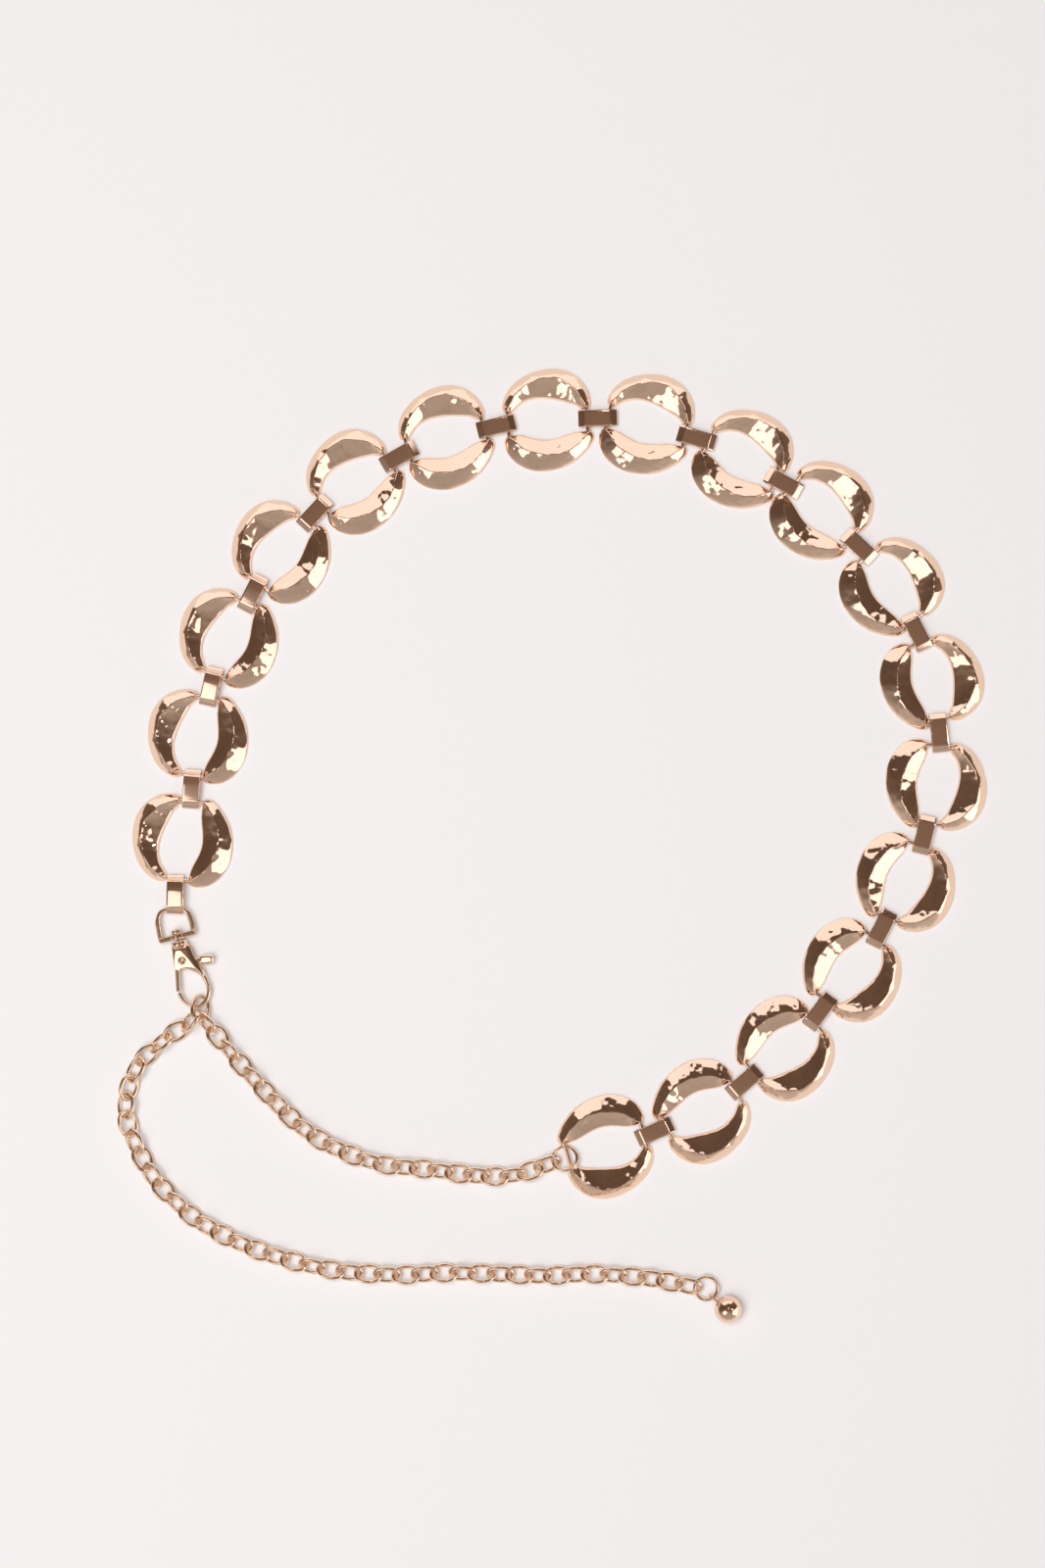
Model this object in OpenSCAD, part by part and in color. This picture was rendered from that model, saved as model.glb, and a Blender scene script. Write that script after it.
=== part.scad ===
// Waist chain: eighteen hammered open discs joined by folded straps, closed by a
// swivel snap hook on a chain of oval links that ends in a ball.
// Millimetres. The belt lies on Z = 0 and is seen from above.

/* [Discs] */
// Length of a disc along the belt
disc_length = 32.4; // [30:0.2:35]
// Width of a disc across the belt
disc_width = 37.4; // [34:0.2:42]
// Height of a disc's ridge above its flat back
disc_height = 4.6; // [4.2:0.1:5.6]
// Height of the outer rim of a disc
outer_rim = 1.1; // [0.7:0.1:1.6]
// Height of the inner rim, round the hole
inner_rim = 1.5; // [1.2:0.1:2]
// Width of the worn flat along the ridge
ridge_flat = 0.5; // [0.3:0.1:0.8]
// Diameter of the bar at each end of a disc
bar_d = 1.4; // [1.2:0.1:1.6]
// Distance of a bar's centre in from the end of the disc
bar_inset = 1.75; // [1.4:0.05:2]
// Height of the bars above the floor
bar_z = 2.2; // [2.2:0.05:2.4]

/* [Straps] */
// Distance between the bars that a strap joins
strap_span = 8.9; // [8.5:0.1:10]
// Width of the folded strap
strap_width = 6; // [5:0.1:6.2]
// Thickness of the strap's sheet
strap_sheet = 0.5; // [0.4:0.05:0.6]
// Room that a bar can slide along inside the strap
strap_slide = 3.1; // [2.8:0.1:4]
// Room between a bar and the sheet above and below it
strap_play = 0.15; // [0.1:0.05:0.2]
// Width of the seam on the strap's underside
strap_seam = 0.3; // [0.2:0.1:0.6]

/* [Chain] */
// Outside length of an oval link
link_length = 10.6; // [10:0.1:11.6]
// Outside width of an oval link
link_width = 7.7; // [7.2:0.1:8.4]
// Wire diameter of the links
link_wire = 1.5; // [1.3:0.1:1.6]
// Slack between one link and the next
link_play = 0.5; // [0.4:0.05:0.7]
// Wire diameter of the jump rings
ring_wire = 1.2; // [1:0.1:1.3]
// Outside diameter of the jump ring on the last disc
end_ring_d = 10.3; // [10:0.1:10.6]
// Outside diameter of the jump ring at the tail
tail_ring_d = 9.6; // [9:0.1:10.4]

/* [Ball] */
// Diameter of the ball at the tail
ball_d = 10.1; // [8:0.1:12]
// Wire diameter of the ball's eye
eye_wire = 0.9; // [0.7:0.1:1]
// Inside diameter of the ball's eye
eye_bore = 2; // [1.8:0.1:2.6]
// Diameter of the stem between the eye and the ball
stem_d = 1.6; // [1.2:0.1:1.8]
// Length of the stem between the eye and the ball
stem_length = 0.6; // [0.4:0.1:1]

/* [Clasp] */
// Height of the swivel axis above the floor
clasp_z = 3.2; // [3.2:0.1:3.6]
// Distance from the rivet to the far end of the hook's rod
hook_reach = 17.6; // [17:0.1:19]
// Distance across the hook between the middles of its two sides
hook_span = 10.9; // [10.4:0.1:11.6]
// Diameter of the hook's rod
hook_wire = 1.5; // [1.3:0.1:1.7]
// Thickness of the hook's body
hook_thick = 4.4; // [4:0.1:5]
// Thickness of the slot that the lever moves in
slot_width = 1.8; // [1.6:0.1:2.2]
// Width of the gate
gate_width = 1.7; // [1.4:0.1:1.9]
// Thickness of the gate below the body
gate_thick = 2.2; // [1.9:0.1:2.6]
// Width of the thumb tab
tab_width = 3.4; // [2.6:0.1:3.6]
// Thickness of the thumb tab
tab_thick = 2.2; // [1.9:0.1:2.6]
// Distance of the thumb tab's end from the rivet
tab_reach = 11.6; // [10.5:0.1:13]
// Width of the lever's arm in the slot
arm_width = 2.2; // [1.8:0.1:2.6]
// Diameter of the lever's hub
hub_d = 3.8; // [3.4:0.1:4]
// Diameter of the rivet's shank
rivet_d = 1.4; // [1.2:0.1:1.5]
// Diameter of the rivet's heads
rivet_head_d = 3; // [2.6:0.1:3.2]
// Thickness of the rivet's heads
rivet_head_thick = 0.35; // [0.3:0.05:0.5]
// Diameter of the hollow in the rivet's heads
rivet_hollow_d = 1.0; // [0.7:0.1:1.1]
// Depth of that hollow
rivet_hollow_depth = 0.6; // [0.4:0.1:0.8]
// Diameter of the swivel post
post_d = 1.8; // [1.6:0.1:2]
// Diameter of the round head inside the bow
post_head_d = 3.6; // [3:0.1:4]
// Length of the round head
post_head_length = 1.6; // [1.2:0.1:2]
// Diameter of the hook's collar
collar_d = 6.2; // [5.6:0.1:6.3]
// Length of the hook's collar
collar_length = 1.7; // [1.4:0.1:2]
// Length of the bare post between the collar and the bow's foot
post_bare = 0.7; // [0.5:0.1:0.9]
// Width of the bow's foot
bow_width = 13.7; // [13:0.1:15]
// Distance of the bow's bar from the rivet
bow_reach = 19.1; // [18.6:0.1:20]
// Diameter of the bow's bar and sides
bow_wire = 1.4; // [1.2:0.1:1.6]
// Length of the bow's foot along the swivel axis
bow_foot = 1.9; // [1.6:0.1:2.2]
// Thickness of the bow's foot
bow_foot_thick = 2.4; // [2:0.1:3]
// Running clearance of the clasp's parts
clasp_gap = 0.12; // [0.08:0.02:0.2]

/* [Hidden] */
$fn = 40;
FLOOR_Z = 0;

// Section stations of the crescent on the belt's outer side, from the clasp end to the
// chain end. Columns: outer edge X, Y, ridge X, Y, inner edge X, Y in percent of the half
// length and half width, then the ridge's height in percent of disc_height.
OUTER_CRESCENT = [
    [-99, 23, -89, 21, -80, 20, 68],
    [-99, 38, -84, 34, -69, 28, 80],
    [-88, 60, -71, 50, -57, 36, 92],
    [-66, 79, -50, 66, -39, 42, 99],
    [-34, 93, -24, 77, -19, 44, 97],
    [3, 100, 4, 82, 3, 42, 102],
    [39, 97, 33, 78, 27, 37, 98],
    [70, 84, 57, 64, 48, 31, 99],
    [92, 61, 75, 47, 65, 25, 92],
    [101, 37, 85, 30, 74, 19, 82],
    [100, 19, 90, 16, 80, 15, 68]
];
// The same for the crescent on the inner side, from the chain end to the clasp end
INNER_CRESCENT = [
    [102, -31, 93, -29, 82, -28, 68],
    [100, -46, 83, -39, 72, -27, 80],
    [81, -67, 67, -51, 58, -28, 92],
    [52, -86, 46, -63, 38, -32, 100],
    [22, -96, 21, -70, 19, -36, 97],
    [-12, -100, -6, -69, -2, -38, 101],
    [-44, -96, -31, -65, -21, -36, 98],
    [-75, -82, -54, -57, -40, -31, 98],
    [-94, -62, -71, -44, -57, -26, 90],
    [-101, -41, -83, -32, -71, -24, 80],
    [-98, -28, -90, -26, -82, -25, 68]
];
// Steps between two stations of a crescent
CRESCENT_STEPS = 2;
// Fullness of the outer bevel and hollow of the inner bevel, in percent of disc_height
OUTER_FULLNESS = 5;
INNER_HOLLOW = 3;
// Half the free length of a bar at each end and its middle, in percent of the half width
FRONT_BAR = [-28, 15];
REAR_BAR = [-25, 20];
// Depth of a bar's end inside the crescent
bar_seat = 0.86 * bar_d;

// Route of the discs, hand-chosen, in shares of the disc pitch: X, Y and the turn in
// degrees that the disc lies off the line through its neighbours
DISC_ROUTE = [
    [-3.59, 0.05, -1], [-3.44, 1.06, 2], [-3.14, 2.02, 1], [-2.63, 2.86, 3],
    [-1.91, 3.54, -1], [-1.03, 3.97, 0], [-0.04, 4.14, 1], [0.93, 4.10, -1],
    [1.86, 3.76, -3], [2.63, 3.26, 0], [3.31, 2.52, 3], [3.70, 1.60, 3],
    [3.74, 0.59, 2], [3.44, -0.36, 2], [2.92, -1.22, -2], [2.27, -1.98, -3],
    [1.46, -2.59, 0], [0.53, -2.93, -4]
];
// Route of the chain from the link in the hook to the last disc, in the same shares
CLOSING_ROUTE = [
    [-3.17, -1.95], [-2.91, -2.25], [-2.65, -2.53], [-2.40, -2.76], [-2.08, -2.95],
    [-1.64, -3.10], [-1.21, -3.14], [-0.79, -3.20], [-0.40, -3.21], [-0.16, -3.14]
];
// Route of the chain's tail from the link in the hook to the ball's jump ring, in the same shares
TAIL_ROUTE = [
    [-3.70, -1.84], [-3.87, -1.98], [-4.03, -2.14], [-4.11, -2.36], [-4.14, -2.62],
    [-4.04, -2.90], [-3.93, -3.13], [-3.79, -3.32], [-3.43, -3.65], [-2.86, -3.93],
    [-2.21, -4.11], [-1.76, -4.16], [-1.37, -4.17], [-1.07, -4.15], [-0.55, -4.16],
    [-0.02, -4.18], [0.34, -4.16], [0.83, -4.19], [1.11, -4.23]
];
// Middle of the ball's jump ring, in the same shares
TAIL_RING_AT = [1.50, -4.30];
// Steps between two points of a chain's route
ROUTE_STEPS = 8;
// Roll between one link and the next, and how far each link strays from it in turn
NEXT_ROLL = -76;
STRAY = [0, 3, -3, 2, 4, -2, -4, 3];
// Roll of the last link of each chain
CLOSING_END_ROLL = 58;
TAIL_END_ROLL = 52;
// How much lower than its neighbours a link may lie
link_drop = link_wire / 3;

function turned(p, a) = [p.x * cos(a) - p.y * sin(a), p.x * sin(a) + p.y * cos(a)];
function flat(p) = [p.x, p.y];
function heading(a, b) = atan2(b.y - a.y, b.x - a.x);
function along(p, a, d) = p + d * [cos(a), sin(a)];

// A smooth row between rows i and i + 1 of a table
function row_between(rows, i, t) =
    let (
        a = rows[max(i - 1, 0)],
        b = rows[i],
        c = rows[i + 1],
        d = rows[min(i + 2, len(rows) - 1)]
    )
    (2 * b + (c - a) * t + (2 * a - 5 * b + 4 * c - d) * t * t
        + (3 * b - a - 3 * c + d) * t * t * t) / 2;
function smooth(rows, steps) = concat(
    [for (i = [0 : len(rows) - 2]) for (k = [0 : steps - 1]) row_between(rows, i, k / steps)],
    [rows[len(rows) - 1]]
);

// Discs along the belt
disc_count = len(DISC_ROUTE);
bar_x = disc_length / 2 - bar_inset;
disc_pitch = 2 * bar_x + strap_span;
half_length = disc_length / 2;
half_width = disc_width / 2;
function disc_at(i) = flat(DISC_ROUTE[i]) * disc_pitch;
function disc_turn(i) = DISC_ROUTE[i][2] + heading(
    DISC_ROUTE[max(i - 1, 0)], DISC_ROUTE[min(i + 1, disc_count - 1)]);
function bar_middle(bar) = (bar[0] + bar[1]) / 200 * half_width;
function front_bar(i) =
    disc_at(i) + turned([bar_x, bar_middle(FRONT_BAR)], disc_turn(i));
function rear_bar(i) =
    disc_at(i) + turned([-bar_x, bar_middle(REAR_BAR)], disc_turn(i));

// Straps
strap_thick = bar_d + 2 * strap_play + 2 * strap_sheet;
strap_length = strap_span + bar_d + strap_slide + 2 * strap_sheet;
// Angle that each strap lies off the line through the middles of its two discs
STRAP_SKEW = 4;

// Clasp, in its own frame: the swivel axis is Y, the rivet's middle is at Y = 0
CLASP_TURN = 15;
BOW_STRAP_TURN = 84.5;
BOW_STRAP_SHARE = 1.22;
BOW_STRAP_SKEW = 4;
rivet_x = -0.04 * hook_span;
body_top = 0.3125 * hook_reach;
collar_top = body_top + collar_length;
foot_y = collar_top + clasp_gap + post_bare;
head_y = foot_y + bow_foot + clasp_gap;
tab_start = 0.552 * tab_reach;
bow_bar_middle = [0.102 * bow_width, bow_reach];
// Bow's sides and bar from foot to foot, in shares of half its width and of its height
BOW_ROUTE = [
    [-0.90, 0], [-0.86, 0.38], [-0.80, 0.73], [-0.62, 0.95], [-0.41, 1.04], [-0.20, 1.05],
    [0.20, 1], [0.62, 0.96], [0.80, 0.84], [0.90, 0.68], [0.94, 0.35], [0.92, 0]
];
// Hook's rod from the body to its tip: X in shares of hook_span, Y in shares of
// hook_reach, and the diameter in shares of hook_wire
ROD_ROUTE = [
    [0.47, -0.24, 1.5], [0.51, -0.40, 1.25], [0.56, -0.56, 1.05], [0.565, -0.72, 1],
    [0.45, -0.885, 1], [0.24, -0.98, 1], [0.02, -0.995, 1], [-0.20, -0.93, 1],
    [-0.37, -0.80, 1], [-0.44, -0.635, 1]
];
// Diameter of the round middle of the bow's foot in shares of collar_d
BOW_BOSS = 0.85;
// How far a cut runs past the face that it opens
CUT_PAST = 1;
// Outline of the hook's body and the cut that the lever moves in: X in shares of hook_span
// and Y in shares of hook_reach
BODY_OUTLINE = [
    [-0.275, 0.3125], [0.275, 0.3125], [0.40, 0.034], [0.52, -0.273], [0.55, -0.409],
    [0.45, -0.420], [0.36, -0.341], [0.22, -0.267], [0.04, -0.199], [-0.14, -0.170],
    [-0.35, -0.165]
];
SLOT_OUTLINE = [
    [-0.6, 0.193], [0.8, 0.193], [0.8, -0.210], [0.2, -0.210], [0.1, -0.341], [-0.6, -0.341]
];
// Ends of the gate's middle line, in the same shares
GATE_TOP = [-0.29, -0.182];
GATE_END = [-0.439, -0.605];
// Depth that the collar and the post's head are rooted by, and the root's width in shares
// of collar_d
ROOT = 0.5;
ROOT_WIDTH = 0.7;
// Turn of the thumb tab, how much further its arm in the slot turns, and how far the tab
// lies to the side
TAB_TURN = -11;
ARM_TURN = -8;
TAB_SHIFT = 0.2;
// Steps between two rows of a rod's route, and its number of sides
ROD_STEPS = 3;
ROD_SIDES = 12;
bow_bar_at = along(rear_bar(0), BOW_STRAP_TURN + 180, BOW_STRAP_SHARE * strap_span);
clasp_at = bow_bar_at - turned(bow_bar_middle, CLASP_TURN);
function in_clasp(p) = clasp_at + turned(p, CLASP_TURN);
function in_hook(share) = [share.x * hook_span, share.y * hook_reach];

// Links at the hook, in the clasp's frame: middle X and Y in shares of hook_span and
// hook_reach, middle Z above the swivel axis in shares of link_width, then the turn, climb
// and roll
HELD_LINK = [0.130, -1.051, 0.082, 67.3, -26.3, 24];
CLOSING_LINK = [0.195, -1.378, 0.056, -63.5, 10.6, 55.1];
TAIL_LINK = [-0.299, -1.258, 0.201, -152.1, -27.6, 55.4];
function link_middle(row) =
    let (p = in_clasp(in_hook(row)))
    [p.x, p.y, clasp_z + row[2] * link_width];
function link_turn(row) = [row[5], -row[4], CLASP_TURN + row[3]];
// Where the next link joins one of these, and at what height
function link_end(row) =
    let (m = link_middle(row), reach = link_pitch / 2, a = CLASP_TURN + row[3])
    m + reach * [cos(row[4]) * cos(a), cos(row[4]) * sin(a), sin(row[4])];

// Jump ring on the last disc's bar: its roll, and its middle's place off the bar's middle
// in shares of its diameter
END_RING_ROLL = 24;
END_RING_SHIFT = [0.126, 0.097];
end_ring_r = (end_ring_d - ring_wire) / 2;
last = disc_count - 1;
end_ring_at = front_bar(last) + turned(END_RING_SHIFT * end_ring_d, disc_turn(last));
end_ring_z = end_ring_r * sin(END_RING_ROLL) + ring_wire / 2;

// Ball with its eye, and the jump ring that holds them
TAIL_RING_TILT = 3;
EYE_TURN = -52;
BALL_TURN = -38;
TAIL_STOP_TURN = 178;
tail_ring_z = 0.3125 * tail_ring_d;
tail_ring_r = (tail_ring_d - ring_wire) / 2;
tail_ring_at = TAIL_RING_AT * disc_pitch;

// Links along a route
link_pitch = link_length - 2 * link_wire - link_play;
link_reach = (link_wire + link_play) / 2;
function link_rest(roll) = (link_width - link_wire) / 2 * abs(sin(roll)) + link_wire / 2;
function running_length(points) = [
    for (i = 0, s = 0; i < len(points);
        s = s + (i + 1 < len(points) ? norm(points[i + 1] - points[i]) : 0), i = i + 1) s
];
// Points where one link meets the next, evenly spaced along the route
function joints(route) =
    let (
        points = smooth(route, ROUTE_STEPS),
        run = running_length(points),
        total = run[len(run) - 1],
        count = 2 * ceil(total / link_pitch / 2),
        xs = [for (i = [0 : len(run) - 1]) [run[i], points[i].x]],
        ys = [for (i = [0 : len(run) - 1]) [run[i], points[i].y]]
    )
    [for (j = [0 : count]) [lookup(total * j / count, xs), lookup(total * j / count, ys)]];
// Roll of each of the n links that follow the first one, with an even twist to the last one
function rolls(n, first, final) =
    let (
        rest = final - first - (n % 2) * NEXT_ROLL,
        twist = rest - 180 * round(rest / 180)
    )
    [for (j = [1 : n]) first + twist * j / n + (j % 2) * NEXT_ROLL + STRAY[j % len(STRAY)]];
// Height of each link's middle: on the floor, or held up by its neighbours
function heights(rolls, start) = [for (j = [0 : len(rolls) - 1]) max(
    link_rest(rolls[j]),
    (j == 0 ? start : link_rest(rolls[j - 1])) - link_drop,
    link_rest(rolls[min(j + 1, len(rolls) - 1)]) - link_drop
)];

// Where the closing chain and the tail stop
closing_stop = along(end_ring_at, disc_turn(last), end_ring_r - link_reach);
tail_stop = along(tail_ring_at, TAIL_STOP_TURN, tail_ring_r - link_reach);

GOLD = [0.93, 0.72, 0.58];
PALE_GOLD = [0.97, 0.80, 0.67];

// One section of a crescent, from its outer bottom edge over the ridge to its inner one
function crescent_section(row) =
    let (
        out = [row[0] * half_length, row[1] * half_width] / 100,
        ridge = [row[2] * half_length, row[3] * half_width] / 100,
        inn = [row[4] * half_length, row[5] * half_width] / 100,
        top = row[6] * disc_height / 100,
        across = (out - inn) / norm(out - inn),
        outer_side = ridge + across * ridge_flat / 2,
        inner_side = ridge - across * ridge_flat / 2,
        outer_mid = (out + outer_side) / 2,
        inner_mid = (inn + inner_side) / 2
    )
    [
        [out.x, out.y, FLOOR_Z],
        [out.x, out.y, outer_rim],
        [outer_mid.x, outer_mid.y, (outer_rim + top) / 2 + OUTER_FULLNESS * disc_height / 100],
        [outer_side.x, outer_side.y, top],
        [inner_side.x, inner_side.y, top],
        [inner_mid.x, inner_mid.y, (inner_rim + top) / 2 - INNER_HOLLOW * disc_height / 100],
        [inn.x, inn.y, inner_rim],
        [inn.x, inn.y, FLOOR_Z]
    ];

// Solid through sections of equal length, each clockwise as seen from the one before it
module skin(sections) {
    n = len(sections[0]);
    m = len(sections);
    polyhedron(
        points = [for (s = sections) for (p = s) p],
        faces = concat(
            [[for (j = [0 : n - 1]) j]],
            [for (i = [0 : m - 2]) for (j = [0 : n - 1])
                [i * n + j, (i + 1) * n + j, (i + 1) * n + (j + 1) % n, i * n + (j + 1) % n]],
            [[for (j = [n - 1 : -1 : 0]) (m - 1) * n + j]]
        )
    );
}

module crescent(table) {
    skin([for (row = smooth(table, CRESCENT_STEPS)) crescent_section(row)]);
}

module disc_bar(x, bar) {
    low = bar[0] / 100 * half_width - bar_seat;
    high = bar[1] / 100 * half_width + bar_seat;
    translate([x, low, bar_z])
        rotate([-90, 0, 0])
            cylinder(d = bar_d, h = high - low);
}

module disc(i) {
    color(GOLD)
        translate([disc_at(i).x, disc_at(i).y, 0])
            rotate(disc_turn(i)) {
                crescent(OUTER_CRESCENT);
                crescent(INNER_CRESCENT);
                disc_bar(bar_x, FRONT_BAR);
                disc_bar(-bar_x, REAR_BAR);
            }
}

module flat_oval(length, height) {
    square([length - height, height], center = true);
    for (side = [-1, 1])
        translate([side * (length - height) / 2, 0])
            circle(d = height);
}

// A band folded round the bars at a and b, each a point with its height
module strap(a, b, turn) {
    middle = (a + b) / 2;
    climb = atan2(b.z - a.z, norm(flat(b - a)));
    color(PALE_GOLD)
        translate(middle)
            rotate([0, -climb, turn])
                rotate([90, 0, 0])
                    linear_extrude(height = strap_width, center = true)
                        difference() {
                            flat_oval(strap_length, strap_thick);
                            flat_oval(strap_length - 2 * strap_sheet, strap_thick - 2 * strap_sheet);
                            translate([0, -strap_thick / 2])
                                square([strap_seam, 2 * strap_sheet], center = true);
                        }
}

// Round rod along rows of X, Y and diameter, in the XY plane
module bent_rod(rows) {
    stations = smooth(rows, ROD_STEPS);
    last_station = len(stations) - 1;
    skin([for (i = [0 : last_station])
        let (
            way = heading(stations[max(i - 1, 0)], stations[min(i + 1, last_station)]),
            r = stations[i][2] / 2
        )
        [for (k = [0 : ROD_SIDES - 1])
            let (a = 360 * k / ROD_SIDES, p = along(stations[i], way + 90, r * cos(a)))
            [p.x, p.y, r * sin(a)]]]);
}

module in_clasp_place() {
    translate([clasp_at.x, clasp_at.y, clasp_z])
        rotate(CLASP_TURN)
            children();
}

module along_y(y, d, h) {
    translate([0, y, 0])
        rotate([-90, 0, 0])
            cylinder(d = d, h = h);
}

module clasp_bow() {
    foot_middle = foot_y + bow_foot / 2;
    color(GOLD) in_clasp_place()
        difference() {
            union() {
                bent_rod([for (p = BOW_ROUTE)
                    [p.x * bow_width / 2, foot_middle + p.y * (bow_reach - foot_middle), bow_wire]]);
                translate([0, foot_middle, 0])
                    cube([bow_width, bow_foot, bow_foot_thick], center = true);
                along_y(foot_y, BOW_BOSS * collar_d, bow_foot);
            }
            along_y(foot_y - CUT_PAST, post_d + 2 * clasp_gap, bow_foot + 2 * CUT_PAST);
        }
}

// Hook: body with a slot for the lever, swivel post with its head, and the bent rod
module clasp_hook() {
    color(GOLD) in_clasp_place()
        difference() {
            union() {
                linear_extrude(height = hook_thick, center = true)
                    polygon([for (p = BODY_OUTLINE) in_hook(p)]);
                along_y(body_top - ROOT, ROOT_WIDTH * collar_d, 2 * ROOT);
                along_y(body_top, collar_d, collar_length);
                along_y(collar_top, post_d, head_y - collar_top + ROOT);
                along_y(head_y, post_head_d, post_head_length);
                bent_rod([for (p = ROD_ROUTE)
                    [p.x * hook_span, p.y * hook_reach, p[2] * hook_wire]]);
            }
            linear_extrude(height = slot_width, center = true)
                polygon([for (p = SLOT_OUTLINE) in_hook(p)]);
            translate([rivet_x, 0, 0])
                cylinder(d = rivet_d + clasp_gap, h = hook_thick + 2 * CUT_PAST, center = true);
        }
}

// Lever: hub on the rivet, gate that shuts the hook, and thumb tab
module clasp_lever() {
    in_slot = slot_width - 2 * clasp_gap;
    rivet_at = [rivet_x, 0];
    gate_top = in_hook(GATE_TOP);
    gate_end = in_hook(GATE_END);
    color(PALE_GOLD) in_clasp_place()
        difference() {
            union() {
                translate([rivet_x, 0, 0])
                    cylinder(d = hub_d, h = in_slot, center = true);
                lever_bar(rivet_at, gate_top, gate_width, in_slot, ROOT);
                lever_bar(gate_top, gate_end, gate_width, gate_thick, 0);
                lever_bar(rivet_at, along(rivet_at, TAB_TURN + ARM_TURN, tab_start), arm_width,
                    in_slot, 0);
                translate([rivet_x, 0, 0])
                    rotate(TAB_TURN)
                        thumb_tab();
            }
            translate([rivet_x, 0, 0])
                cylinder(d = rivet_d + clasp_gap, h = hook_thick, center = true);
        }
}

// Flat bar from the point a to the point b and a little past it
module lever_bar(a, b, width, thick, past) {
    translate([a.x, a.y, 0])
        rotate(heading(a, b))
            translate([0, -width / 2, -thick / 2])
                cube([norm(b - a) + past, width, thick]);
}

module thumb_tab() {
    middle = tab_reach - tab_width / 2;
    translate([0, -TAB_SHIFT, 0])
        linear_extrude(height = tab_thick, center = true) {
            translate([tab_start, -tab_width / 2])
                square([middle - tab_start, tab_width]);
            translate([middle, 0])
                circle(d = tab_width);
        }
}

module oval_link() {
    r = (link_width - link_wire) / 2;
    half = (link_length - link_width) / 2;
    for (side = [0, 180])
        rotate(side)
            translate([half, 0, 0])
                rotate(-90)
                    rotate_extrude(angle = 180)
                        translate([r, 0])
                            circle(d = link_wire);
    for (side = [-1, 1])
        translate([-half, side * r, 0])
            rotate([0, 90, 0])
                cylinder(d = link_wire, h = 2 * half);
}

module posed_link(row) {
    translate(link_middle(row))
        rotate(link_turn(row))
            oval_link();
}

// Oval links: the first as posed, the others along the route to the point b
module chain(first, route, b, last_roll) {
    start = link_end(first);
    spots = joints(concat([flat(start)], route * disc_pitch, [b]));
    n = len(spots) - 1;
    rolled = rolls(n, first[5], last_roll);
    z = heights(rolled, start.z);
    color(PALE_GOLD) {
        posed_link(first);
        for (j = [0 : n - 1]) {
            p = spots[j];
            q = spots[j + 1];
            translate([(p.x + q.x) / 2, (p.y + q.y) / 2, z[j]])
                rotate([0, 0, heading(p, q)])
                    rotate([rolled[j], 0, 0])
                        oval_link();
        }
    }
}

// Ball with a stem and an eye, whose middle is at the jump ring's wire
module tail_ball() {
    eye_r = (eye_bore + eye_wire) / 2;
    reach = ball_d / 2 + eye_r + stem_length;
    ring_side = along(tail_ring_at, EYE_TURN, tail_ring_r * cos(TAIL_RING_TILT));
    eye_z = tail_ring_z + tail_ring_r * sin(TAIL_RING_TILT);
    drop = asin((ball_d / 2 - eye_z) / reach);
    color(PALE_GOLD)
        translate([ring_side.x, ring_side.y, eye_z])
            rotate([0, -drop, BALL_TURN]) {
                rotate([90, 0, 0])
                    rotate_extrude()
                        translate([eye_r, 0])
                            circle(d = eye_wire);
                translate([eye_r, 0, 0])
                    rotate([0, 90, 0])
                        cylinder(d = stem_d, h = reach - eye_r);
                translate([reach, 0, 0])
                    sphere(d = ball_d);
            }
}

module ring(d, wire) {
    color(PALE_GOLD)
        rotate_extrude()
            translate([(d - wire) / 2, 0])
                circle(d = wire);
}

module end_ring() {
    translate([end_ring_at.x, end_ring_at.y, end_ring_z])
        rotate([END_RING_ROLL, 0, disc_turn(last)])
            ring(end_ring_d, ring_wire);
}

module tail_ring() {
    translate([tail_ring_at.x, tail_ring_at.y, tail_ring_z])
        rotate([0, -TAIL_RING_TILT, EYE_TURN])
            ring(tail_ring_d, ring_wire);
}

// Tubular rivet through the hook's body
module clasp_rivet() {
    length = hook_thick + 2 * clasp_gap;
    color(GOLD) in_clasp_place()
        translate([rivet_x, 0, 0])
            difference() {
                union() {
                    cylinder(d = rivet_d, h = length, center = true);
                    for (side = [-1, 1])
                        translate([0, 0, side * (length + rivet_head_thick) / 2])
                            cylinder(d = rivet_head_d, h = rivet_head_thick, center = true);
                }
                for (side = [-1, 1])
                    translate([0, 0, side * (length / 2 + rivet_head_thick)])
                        cylinder(d = rivet_hollow_d, h = 2 * rivet_hollow_depth, center = true);
            }
}

for (i = [1 : disc_count])
    disc(i - 1);
for (i = [1 : disc_count])
    strap(
            i == 1 ? [bow_bar_at.x, bow_bar_at.y, clasp_z]
                : [front_bar(i - 2).x, front_bar(i - 2).y, bar_z],
            [rear_bar(i - 1).x, rear_bar(i - 1).y, bar_z],
            i == 1 ? BOW_STRAP_TURN + BOW_STRAP_SKEW
                : heading(disc_at(i - 2), disc_at(i - 1)) + STRAP_SKEW
        );
clasp_bow();
clasp_hook();
clasp_lever();
clasp_rivet();
color(PALE_GOLD) posed_link(HELD_LINK);  // held_link
chain(CLOSING_LINK, CLOSING_ROUTE, closing_stop, CLOSING_END_ROLL);  // chain_closing
end_ring();
chain(TAIL_LINK, TAIL_ROUTE, tail_stop, TAIL_END_ROLL);  // chain_tail
tail_ring();
tail_ball();
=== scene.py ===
"""Looks of the waist chain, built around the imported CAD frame.

Lengths are millimetres up to to_mesh(), which makes the meshes in metres. Floor, lamps and
camera are placed in metres.
"""
import math

import bmesh
import bpy
import numpy as np
from mathutils import Matrix, Vector, noise


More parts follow.
